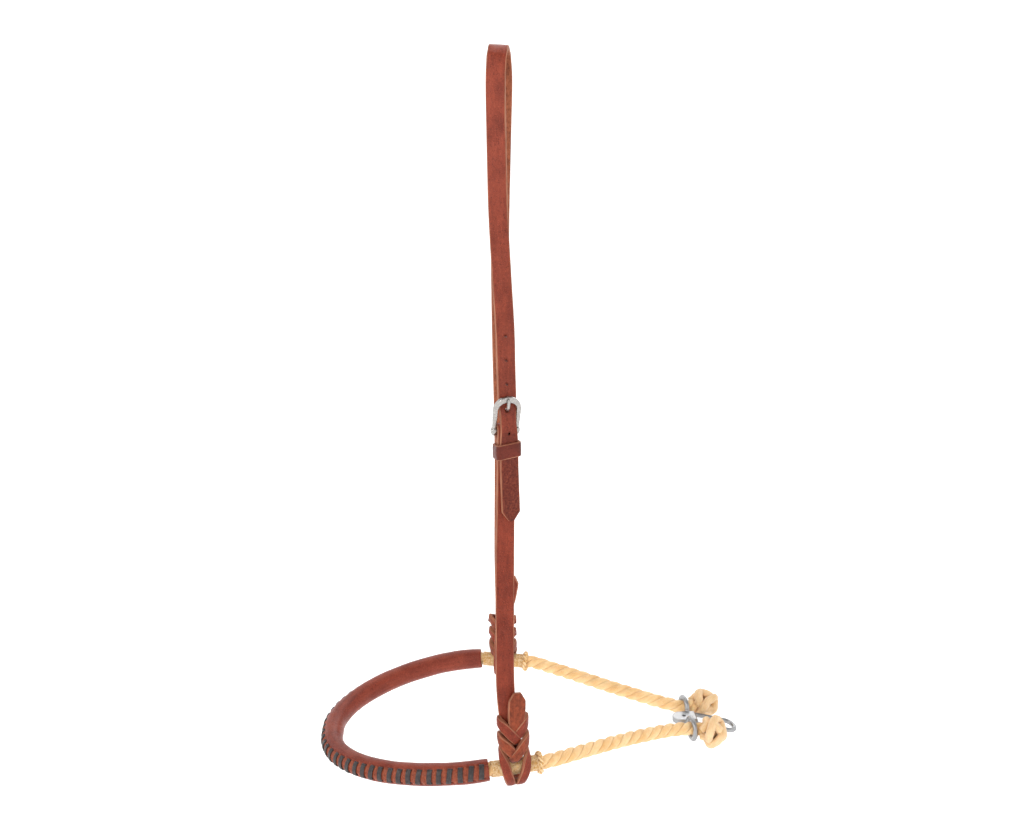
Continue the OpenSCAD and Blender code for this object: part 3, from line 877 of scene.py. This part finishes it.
def make_crown_strap():
    """The long strap: from the far plait up the far cheek, over the poll and down to the billet's tip."""
    far_len = (DROP - PLAIT_IN) / math.cos(LEAN) + CROWN_MID * math.tan(LEAN)
    rows = []
    outward = (0, math.cos(LEAN), math.sin(LEAN))
    for share, x in ((1.0, 0.0), (0.975, 0.2), (0.93, 0.9), (0.8, 0.5), (0.6, 1.6), (0.4, 0.8), (0.25, 0.9),
                     (0.12, 2.4), (0.03, 3.6)):
        p = np.array([0, CROWN_MID * math.cos(LEAN), CROWN_MID * math.sin(LEAN)])
        p = p + far_len * share * np.array([0, math.sin(LEAN), -math.cos(LEAN)])
        p[0] = x * MM
        rows.append((*p, 6 * math.sin(5 * share) * min(1, 8 * (1 - share)), *outward))
    for degrees in (20, 45, 70, 90, 110, 135, 160):
        a = math.radians(degrees)
        x = 3.6 - 5.6 * degrees / 180
        rows.append((x * MM, CROWN_MID * math.cos(a), CROWN_MID * math.sin(a), -4, 0, math.cos(a),
                     math.sin(a)))
    for z, x, twist in ((-0.012, -2.2, 10), (-0.05, -2.4, 12), (-0.09, -2.3, 8), (-0.13, -1.0, -2),
                        (-0.165, 0.4, -7), (-0.190, 0.6, -5)):
        up = near_up(z)
        rows.append((*near_strap(x * MM, 0, up), twist, *near_dir(0, 1, 0, up)))
    for out, up, x in ((0.2, 22, 0.8), (1.5, 10, 0.8), (2.9, -0.5, 0.8), (3.15, -9, 0.6), (3.15, -22, 0.5),
                       (3.25, -36, 0.6), (3.4, -50, 0.8), (3.6, -61, 0.9)):
        rows.append((*near_strap(x * MM, out * MM, up * MM), 0, *near_dir(0, 1, 0, up * MM)))
    path, normals = strap_path(rows, 0.0010)
    s = lengths(path)
    tip_len = 0.0062
    share = np.clip((s[-1] - s) / tip_len, 0, 1)
    in_frame = np.exp(-((s[-1] - s - 0.068) / 0.011) ** 2)
    widths = STRAP_W * (0.27 + 0.73 * share) * (1 - 0.15 * in_frame)
    sheaf = Sheaf()
    ribbon(sheaf, path, normals, widths=widths, seed=1.0)
    strap = sheaf.build("crown_strap_leather", [STRAP_GRAIN, FLESH, EDGE])
    buckle_z = near_strap(0, 0, 0)[2]
    holes = []
    for i, up in enumerate((-1.4, 30.5, 46.5, 62.5)):
        out, x = (0.003, 0.0008) if up < 20 else (0, 0.0008)
        slant = 0 if up < 20 else 0.0046
        holes.append(rod("hole%d" % i, near_strap(x, out + 0.006, up * MM + slant),
                         near_strap(x, out - 0.006, up * MM - slant), 0.00108, LEATHER))
    for i, up in enumerate((13.8, 14.6, 15.3)):
        holes.append(rod("tongue_hole%d" % i, near_strap(0.0002, 0.007, up * MM),
                         near_strap(0.0002, -0.005, up * MM), 0.00145, LEATHER))
    cut(strap, holes)
    # Painted shade mask for the lower near cheek and the billet.
    mark(strap, "painted_light_and_wear", [billet_painted_shade(v.co, buckle_z) for v in strap.data.vertices])
    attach(strap, "headstall")
    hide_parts("crown_strap")


def make_hanger():
    """The short strap: from the near plait up to the heel bar, round it and down behind itself."""
    rows = []
    low = near_up(-DROP)
    for up, x, twist in ((0.010, 0, 0), (0.020, -0.8, 0), (0.032, -2.4, 2), (0.046, -3.9, 3),
                         (0.066, -4.5, 4), (0.096, -4.0, 5), (0.136, -3.2, 3), (0.176, -2.2, 0)):
        rows.append((*near_strap(x * MM, 0, low + up), twist, *near_dir(0, 1, 0, low + up)))
    for up, x in ((-0.03, -0.9), (-0.012, -0.3)):
        rows.append((*near_strap(x * MM, 0, up), 0, *near_dir(0, 1, 0, up)))
    fold = 0.00345
    for degrees in (0, 30, 60, 90, 120, 150, 180):
        a = math.radians(degrees)
        p = near_strap(0, BAR_OUT + fold * math.cos(a), fold * math.sin(a) + 0.0002)
        rows.append((*p, 0, *near_dir(0, math.cos(a), math.sin(a), 0)))
    for out, up in ((-5.0, -4.5), (-3.2, -9), (-2.75, -14), (-2.75, -24), (-2.75, -34)):
        rows.append((*near_strap(0, out * MM, up * MM), 0, *near_dir(0, -1, 0, up * MM)))
    path, normals = strap_path(rows, 0.0008)
    s = lengths(path)
    bar_at = s[np.argmin(np.linalg.norm(path - near_strap(0, BAR_OUT, fold), axis=1))]
    skive = np.clip((s - bar_at + 0.014) / 0.010, 0, 1)
    thicks = STRAP_T - 0.0006 * skive
    thicks = thicks * np.clip(0.45 + (s[-1] - s) / 0.012, 0.45, 1)
    sheaf = Sheaf()
    ribbon(sheaf, path, normals, thicks=thicks, seed=5.0)
    strap = sheaf.build("near_hanger_leather", KNOT_LEATHER)
    cut(strap, [box_cutter("fold_slot", (0.0054, 0.030, 0.0125), near_strap(0, -0.002, 0.0026))])
    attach(strap, "headstall")
    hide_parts("near_hanger")


def box_cutter(name, size, middle):
    mesh = bpy.data.meshes.new(name)
    b = bmesh.new()
    bmesh.ops.create_cube(b, size=1)
    bmesh.ops.scale(b, vec=size, verts=b.verts)
    bmesh.ops.rotate(b, matrix=Matrix.Rotation(turn_at(0), 3, "Z"), verts=b.verts)
    bmesh.ops.rotate(b, matrix=Matrix.Rotation(-LEAN, 3, "X"), verts=b.verts)
    bmesh.ops.translate(b, vec=middle, verts=b.verts)
    b.to_mesh(mesh)
    b.free()
    for m in LEATHER:
        mesh.materials.append(m)
    for p in mesh.polygons:
        p.material_index = 2
    obj = bpy.data.objects.new(name, mesh)
    bpy.context.scene.collection.objects.link(obj)
    return obj


# ---------------------------------------------------------------- blood knots
def make_blood_knot(side, label):
    """The strap's plaited end: a band under the rope, two legs up its front, the chevrons and the tail."""
    origin, along, out, up = knot_frame(side)
    axes = np.array([along, out, up])
    sheaf = Sheaf()

    def strip(rows, widths, thick=2.8, bulge=0.45, **more):
        """rows are a point in millimetres and the way the strip faces, both as along, out and up."""
        rows = np.array(rows, float)
        both = np.concatenate([origin + MM * rows[:, :3] @ axes, rows[:, 3:] @ axes], 1)
        places = np.linspace(0, 1, len(rows))
        dense = spline(both, 12)
        wide = MM * np.interp(np.linspace(0, 1, len(dense)), places, widths)
        p, n, w = resample(dense[:, :3], 0.0006, dense[:, 3:], wide[:, None])
        ribbon(sheaf, p, n, max(widths) * MM, thick * MM, widths=w[:, 0], dome=bulge * MM, wobble=0.0002,
               **more)

    # The band round the rope: down the back, under it, and split into two legs in front.
    strip([(0, -5, 30, 0, -1, 0), (0, -7.2, 18, 0, -1, 0), (0, -9.3, 6, 0, -1, 0), (0, -9.6, -2, 0, -1, -.3),
           (0, -6.5, -8.6, 0, -.6, -1), (0, 0, -10.6, 0, 0, -1), (0, 5.2, -9.2, 0, .6, -1)],
          [11, 12, 12.4, 12.4, 12.4, 12.4, 12.2], seed=side + 2.0)
    for s in (-1, 1):
        strip([(s * 3.0, 1.0, -10.5, 0, .1, -1), (s * 3.3, 5.8, -9.2, 0, .6, -1),
               (s * 4.6, 8.8, -5, s * .1, 1, -.35), (s * 6.4, 9.4, 0, s * .25, 1, 0),
               (s * 7.7, 8.3, 6, s * .55, 1, .1), (s * 8.8, 5.2, 11, s, .6, .1),
               (s * 8.9, 0.5, 13.5, s, 0, 0), (s * 6.8, -4.5, 11.5, s * .5, -1, 0),
               (s * 2.4, -6.4, 7, 0, -1, 0)],
              [6.2, 6.3, 6.4, 6.6, 6.6, 6.4, 6.2, 6.0, 5.6], seed=side * 3 + s)
    # The chevrons, each of two arms that cross in front and behind.
    for number in range(2 if side < 0 else 3):
        low = (11.0 if side < 0 else 4.0) + 12.2 * number
        deep = (7.4, 5.6, 5.0)[number]
        for s in (-1, 1):
            lift = 0.9 if s * (1 - 2 * (number % 2)) > 0 else 0.0
            front = deep + lift
            strip([(-s * 2.6, deep - 2.6, low - 3.6, 0, 1, .1), (-s * 0.9, front - .5, low - 0.9, 0, 1, .1),
                   (s * 2.6, front, low + 3.2, s * .1, 1, 0), (s * 6.5, deep - 0.7, low + 8.0, s * .5, 1, 0),
                   (s * 9.2, deep - 3.8, low + 11.2, s, .45, 0), (s * 9.5, 0, low + 12.4, s, 0, 0),
                   (s * 8.3, 3.4 - deep, low + 11.4, s, -.6, 0), (s * 4.4, -deep, low + 8, s * .25, -1, 0),
                   (s * .8, -front + .2, low + 3.8, 0, -1, .1), (-s * 3.0, 2.2 - deep, low - .8, 0, -1, .1)],
                  [5.4, 6.2, 7.0, 7.4, 7.0, 6.4, 6.6, 6.8, 6.6, 5.4], flesh_out=number % 2 == 0, seed=low + s)
    # The tail lies up the front of the strap with its flesh side out.
    if side < 0:
        strip([(-.6, 4.6, 19, 0, 1, 0), (.2, 5.4, 25, 0, 1, -.05), (.9, 5.5, 31, .06, 1, 0),
               (1.6, 5.2, 38, .1, 1, .05),
               (2.1, 4.7, 44.5, .1, 1, .05), (2.5, 4.3, 50, .1, 1, .1), (2.8, 3.9, 55.5, .1, 1, .1)],
              [5, 7, 9.6, 12.2, 12.5, 12.2, 5.4], bulge=0.2, flesh_out=True, seed=side + 9.0)
    else:
        strip([(-.6, 4.4, 31, 0, 1, 0), (.6, 5.2, 38, 0, 1, -.05), (2.2, 5.0, 47, .06, 1, 0),
               (4.0, 4.6, 56, .1, 1, .05),
               (5.6, 4.4, 66, .1, 1, .05), (6.6, 4.2, 73, .1, 1, .1), (7.2, 4.0, 79, .1, 1, .1)],
              [5, 7, 9.6, 12.0, 12.4, 12.2, 5.4], bulge=0.2, flesh_out=True, seed=side + 9.0)
    knot = sheaf.build(label + "_blood_knot_plait", KNOT_LEATHER)
    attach(knot, "headstall")
    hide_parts(label + "_blood_knot")


# ---------------------------------------------------------------- buckle, keeper and stitching
FRAME_TILT = math.radians(20)
FRAME_LEN = 0.0255
FRAME_T = 0.0026
FRAME_OUT = 0.0097
FRAME_IN = 0.0065


def on_frame(x, face, up):
    """A point on the buckle frame: across, out from the frame's own plane, and up it from the heel bar."""
    c, s = math.cos(FRAME_TILT), math.sin(FRAME_TILT)
    return near_strap(x, BAR_OUT + face * c + up * s, up * c - face * s)


def make_buckle():
    """A horseshoe frame with softened edges, its knuckles and its heel bar."""
    sheaf = Sheaf()
    arch = FRAME_LEN - FRAME_OUT
    stations = []
    for f in np.linspace(0, 1, 22):
        up = -0.0005 + (arch + 0.0005) * f
        bulge = 0.0007 * (1 - f)
        stations.append(((-FRAME_OUT + bulge, up), (-FRAME_IN, up)))
    for degrees in np.linspace(174, 6, 41):
        a = math.radians(degrees)
        stations.append(((FRAME_OUT * math.cos(a), arch + FRAME_OUT * math.sin(a)),
                         (FRAME_IN * math.cos(a), arch - 0.001 * math.sin(a) + FRAME_IN * math.sin(a))))
    stations += [((-o[0], o[1]), (-i[0], i[1])) for o, i in reversed(stations[:22])]
    corner = 0.00055
    rings, flows = [], []
    for k, (o, i) in enumerate(stations):
        o, i = np.array(o), np.array(i)
        width = np.linalg.norm(o - i)
        d = (o - i) / width
        ring, flow = [], []
        for sx, sy, first in ((1, 1, 0), (-1, 1, 90), (-1, -1, 180), (1, -1, 270)):
            for step in (0, 30, 60, 90):
                a = math.radians(first + step)
                x = sx * (width / 2 - corner) + corner * math.cos(a)
                y = sy * (FRAME_T / 2 - corner) + corner * math.sin(a)
                p = (o + i) / 2 + d * x
                y += 0.00022 * (1 - (2 * x / width) ** 2) * np.sign(y)
                ring.append(on_frame(p[0], y, p[1]))
                flow.append((k * 0.001, x, y))
        rings.append(ring)
        flows.append(flow)
    sheaf.add(rings, flows)
    for s in (-1, 1):
        lathe(sheaf, [(0.0003, 0.0020), (0.0005, 0.0028), (0.0010, 0.0031), (0.0024, 0.0031),
                      (0.0029, 0.0027)],
              s, FRAME_IN - 0.0002)
    lathe(sheaf, [(-0.0101, 0.0002), (-0.0100, 0.0012), (-0.0096, 0.0018), (-0.0090, 0.0020),
                  (0.0090, 0.0020), (0.0096, 0.0018), (0.0100, 0.0012), (0.0101, 0.0002)], 1, 0)
    buckle = sheaf.build("buckle_frame_steel", [BUCKLE_STEEL])
    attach(buckle, "buckle")
    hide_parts("buckle_frame")


def lathe(sheaf, profile, s, from_x, sides=36):
    """A turned shape about the heel bar's axis, from (along, radius) points."""
    rings, flows = [], []
    for x, r in profile:
        a = np.linspace(0, 2 * math.pi, sides, endpoint=False)
        rings.append([on_frame(s * (from_x + x), r * math.cos(b), r * math.sin(b)) for b in a])
        flows.append(np.stack([np.full(sides, x), r * np.cos(a), r * np.sin(a)], 1))
    sheaf.add(rings, flows)


def make_tongue():
    """A bent wire tongue: an eye round the heel bar, up behind the billet, through it and over the frame."""
    eye = 0.0031
    way = [near_strap(0, BAR_OUT + eye * math.cos(math.radians(d)), eye * math.sin(math.radians(d)))
           for d in (70, 20, -30, -80, -130, -170, 150)]
    way += [near_strap(0, out * MM, up * MM) for out, up in
            ((-4.6, 4.4), (-3.4, 8.0), (-2.2, 11.4), (-0.6, 13.2), (1.8, 14.3), (4.3, 15.3), (5.9, 17.0), (7.0, 19.4),
             (7.8, 21.4), (8.1, 22.4))]
    path = resample(spline(way, 12), 0.0004)
    s = lengths(path)
    radius = np.interp(s, [0, 0.012, 0.030, s[-1]], [0.00095, 0.0011, 0.00125, 0.00105])
    sheaf = Sheaf()
    round_tube(sheaf, path, radius, 18, side_axis=np.tile([1.0, 0, 0], (len(path), 1)), taper=0.0012)
    tongue = sheaf.build("buckle_tongue_steel", [BUCKLE_STEEL])
    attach(tongue, "tongue")
    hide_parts("buckle_tongue")


def make_keeper():
    """A leather loop round the billet and the hanger, its ends overlapped and sewn behind."""
    half_x, back, front = 0.00765, -0.0054, 0.0061
    corner = 0.0022
    way = []
    for cx, cy, first in ((half_x - corner, back + corner, -90), (half_x - corner, front - corner, 0),
                          (corner - half_x, front - corner, 90), (corner - half_x, back + corner, 180)):
        for step in (0, 30, 60, 90):
            a = math.radians(first + step)
            way.append((cx + corner * math.cos(a), cy + corner * math.sin(a), math.cos(a), math.sin(a)))
    way = [(-0.0030, back, 0, -1), (0.0005, back, 0, -1)] + way + [(-0.0022, back - 0.0004, 0, -1),
                                                                (0.0008, back - 0.0017, 0, -1),
                                                                (0.0040, back - 0.0019, 0, -1)]
    middle = -0.0127
    points, normals = [], []
    for x, out, nx, nout in way:
        points.append(near_strap(x, out, middle + 0.0011 * x / half_x))
        normals.append(near_dir(nx, nout, 0, middle))
    both = spline(np.concatenate([points, normals], 1), 8)
    path, n = resample(both[:, :3], 0.0005, both[:, 3:])
    sheaf = Sheaf()
    ribbon(sheaf, path, n, 0.010, 0.0018, seed=12.0)
    keeper = sheaf.build("keeper_leather", [KEEPER, FLESH, EDGE])
    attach(keeper, "keeper")
    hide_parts("keeper_loop")
    sheaf = Sheaf()
    for x in (-0.0001, 0.0026):
        stitch(sheaf, near_strap(x, back - 0.0029, middle - 0.0028),
               near_strap(x, back - 0.0029, middle + 0.0028), 3,
               near_dir(0, -1, 0, middle))
    seam = sheaf.build("keeper_seam_thread", [THREAD])
    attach(seam, "keeper")
    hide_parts("keeper_seam")


def stitch(sheaf, a, b, count, out, radius=0.00038):
    """A row of stitches from a to b, each a short arch of thread."""
    a, b = np.array(a), np.array(b)
    for i in range(count):
        p = a + (b - a) * (i + 0.06) / count
        q = a + (b - a) * (i + 0.94) / count
        f = np.linspace(0, 1, 9)
        lift = (np.sin(f * math.pi) ** 0.6 - 0.75) * 0.0006
        path = p + f[:, None] * (q - p) + lift[:, None] * out
        round_tube(sheaf, path, radius, 8)


def make_hanger_stitching():
    sheaf = Sheaf()
    face = -0.00275 - 0.0013
    for s in (-1, 1):
        stitch(sheaf, near_strap(s * 0.0043, face, -0.0342), near_strap(s * 0.0043, face, -0.0125), 8,
               near_dir(0, -1, 0, -0.02))
    thread = sheaf.build("hanger_stitching_thread", [THREAD])
    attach(thread, "headstall")
    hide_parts("hanger_stitching")


# ---------------------------------------------------------------- chin fitting
RING_WIRE = 0.0037
RING_MID = 0.0060 + RING_WIRE / 2
LOOP_HALF = 0.0068
LOOP_FROM, LOOP_TO = 0.006, 0.031
LOOP_TILT = math.radians(15)


def make_fitting():
    """One casting: two rope rings, the plate between them and the tie-down loop, with soft fillets."""
    ring = np.array(side_point(ROUTE[RING_AT], 1))
    middle = np.array([ring[0], 0, ring[2]])
    sheaf = Sheaf()
    a = np.linspace(0, 2 * math.pi, 97)[:-1]
    for s in (-1, 1):
        centre = np.array([ring[0], s * ring[1], ring[2]])
        turned = math.radians(9)
        along = np.array([math.cos(turned), math.sin(turned), 0])
        across = np.cross([0, 0, 1.0], along)
        upright = np.array([0, 0, 1.0])
        circle = centre + RING_MID * (np.cos(a)[:, None] * across + np.sin(a)[:, None] * upright)
        closed_tube(sheaf, circle, RING_WIRE / 2, 20)
    tilt = np.array([math.cos(LOOP_TILT), 0, -math.sin(LOOP_TILT)])
    y = np.array([0, 1.0, 0])
    loop = [middle + LOOP_FROM * tilt + f * LOOP_HALF * y for f in np.linspace(-1, 1, 12)]
    loop += [middle + x * tilt + LOOP_HALF * y for x in np.linspace(LOOP_FROM, LOOP_TO, 22)[1:]]
    loop += [middle + (LOOP_TO + LOOP_HALF * math.sin(b)) * tilt + LOOP_HALF * math.cos(b) * y
             for b in np.linspace(0, math.pi, 25)[1:]]
    loop += [middle + x * tilt - LOOP_HALF * y for x in np.linspace(LOOP_TO, LOOP_FROM, 22)[1:-1]]
    closed_tube(sheaf, np.array(loop), RING_WIRE / 2, 20)
    body = sheaf.build("chin_fitting_steel", [CAST_STEEL])
    plate = plate_mesh(middle)
    bpy.ops.object.select_all(action="DESELECT")
    for other in (body, plate):
        other.select_set(True)
    bpy.context.view_layer.objects.active = body
    bpy.ops.object.join()
    mesh = body.modifiers.new("skin", "REMESH")
    mesh.mode = "VOXEL"
    mesh.voxel_size = 0.00034
    soft = body.modifiers.new("soft", "SMOOTH")
    soft.iterations = 5
    apply_modifiers(body)
    body.data.polygons.foreach_set("use_smooth", [True] * len(body.data.polygons))
    if not body.data.materials:
        body.data.materials.append(CAST_STEEL)
    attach(body, "fitting")
    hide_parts("chin_fitting")


def closed_tube(sheaf, path, radius, sides):
    t = unit(np.roll(path, -1, 0) - np.roll(path, 1, 0))
    normal = unit(np.cross(t[0], t[len(t) // 4]))
    if abs(normal @ t[len(t) // 2 + 3]) > 0.9:
        normal = np.array([0, 0, 1.0])
    side = unit(np.tile(normal, (len(path), 1)) - t * (t @ normal)[:, None])
    rise = np.cross(t, side)
    a = np.linspace(0, 2 * math.pi, sides, endpoint=False)
    around = np.cos(a)[None, :, None] * side[:, None] + np.sin(a)[None, :, None] * rise[:, None]
    rings = path[:, None] + radius * around
    flows = np.broadcast_to(np.zeros(3), rings.shape)
    sheaf.add(rings, flows, closed=True)


def plate_mesh(middle, thick=0.0042, hole=0.0013):
    """The plate's outline, a round nose and a straight back, with a small hole through it."""
    r = 0.006
    outline = [(-r + r * math.cos(a), r * math.sin(a)) for a in np.linspace(math.pi / 2, 3 * math.pi / 2, 25)]
    outline += [(LOOP_FROM, -r), (LOOP_FROM, r)]
    b = bmesh.new()
    top = [b.verts.new(middle + np.array([x, y, thick / 2])) for x, y in outline]
    low = [b.verts.new(middle + np.array([x, y, -thick / 2])) for x, y in outline]
    b.faces.new(top)
    b.faces.new(low[::-1])
    for i in range(len(outline)):
        j = (i + 1) % len(outline)
        b.faces.new((top[i], low[i], low[j], top[j]))
    bmesh.ops.recalc_face_normals(b, faces=b.faces)
    mesh = bpy.data.meshes.new("plate")
    b.to_mesh(mesh)
    b.free()
    plate = bpy.data.objects.new("plate", mesh)
    bpy.context.scene.collection.objects.link(plate)
    up = np.array([0, 0, 0.01])
    at = middle + np.array([-0.003, 0, 0])
    drill = rod("drill", at - up, at + up, hole, [CAST_STEEL])
    cut(plate, [drill])
    return plate


# ---------------------------------------------------------------- stage
FLOOR_Z = -0.66
FLAT_R, BEND_R, WALL_TOP = 2.0, 1.2, 2.6
AIM = (0, 0, -0.28)
# Each light's name, place, size in metres and power in watts.
LIGHTS = [("key", (-1.1, -1.3, 1.2), 0.55, 14), ("fill", (1.6, -1.2, 0.3), 0.9, 1.6),
          ("top", (0.2, 0.7, 1.7), 0.7, 9), ("back", (0.3, 1.3, 0.6), 0.9, 5)]
SKY = 0.22


def make_backdrop():
    """A pale round floor that curves up into a wall all the way round."""
    bend = [(FLAT_R + BEND_R * math.sin(a), FLOOR_Z + BEND_R * (1 - math.cos(a)))
            for a in np.linspace(0.05, math.pi / 2, 20)]
    line = [(0.01, FLOOR_Z), (0.8, FLOOR_Z), (FLAT_R, FLOOR_Z), *bend, (FLAT_R + BEND_R, WALL_TOP)]
    turns = np.linspace(0, 2 * math.pi, 96, endpoint=False)
    verts = [(r * math.cos(a), r * math.sin(a), z) for r, z in line for a in turns]
    count = len(turns)
    faces = []
    for i in range(len(line) - 1):
        low, high = i * count, (i + 1) * count
        for k in range(count):
            after = (k + 1) % count
            faces.append((low + k, high + k, high + after, low + after))
    faces.append(tuple(range(count)))
    n = Nodes("backdrop")
    faint = n.noise(n.place(), 3.0, 2)
    n.finish(n.mix(faint, (0.90, 0.90, 0.90), (0.94, 0.94, 0.94)), 0.9, None, Specular_IOR_Level=0.1,
             Emission_Color=(1, 1, 1, 1), Emission_Strength=0.42)
    new_object("backdrop", verts, faces, None, None, [n.mat])


def make_lights():
    """Soft studio light."""
    world = bpy.data.worlds.new("studio")
    bpy.context.scene.world = world
    world.use_nodes = True
    world.node_tree.nodes["Background"].inputs["Color"].default_value = (1, 1, 1, 1)
    world.node_tree.nodes["Background"].inputs["Strength"].default_value = SKY
    for name, place, size, power in LIGHTS:
        data = bpy.data.lights.new(name, "AREA")
        data.energy = power
        data.size = size
        light = bpy.data.objects.new(name, data)
        bpy.context.scene.collection.objects.link(light)
        light.location = place
        light.rotation_euler = (Vector(AIM) - Vector(place)).to_track_quat("-Z", "Y").to_euler()
    bpy.context.scene.view_settings.view_transform = "Standard"


make_backdrop()
make_lights()
make_rope()
make_lacing(*make_cover())
for side, label in ((-1, "near"), (1, "far")):
    make_whipping(side, label)
    make_stop_knot(side, label)
    make_end_knot(side, label)
    make_blood_knot(side, label)
make_crown_strap()
make_hanger()
make_buckle()
make_tongue()
make_keeper()
make_hanger_stitching()
make_fitting()
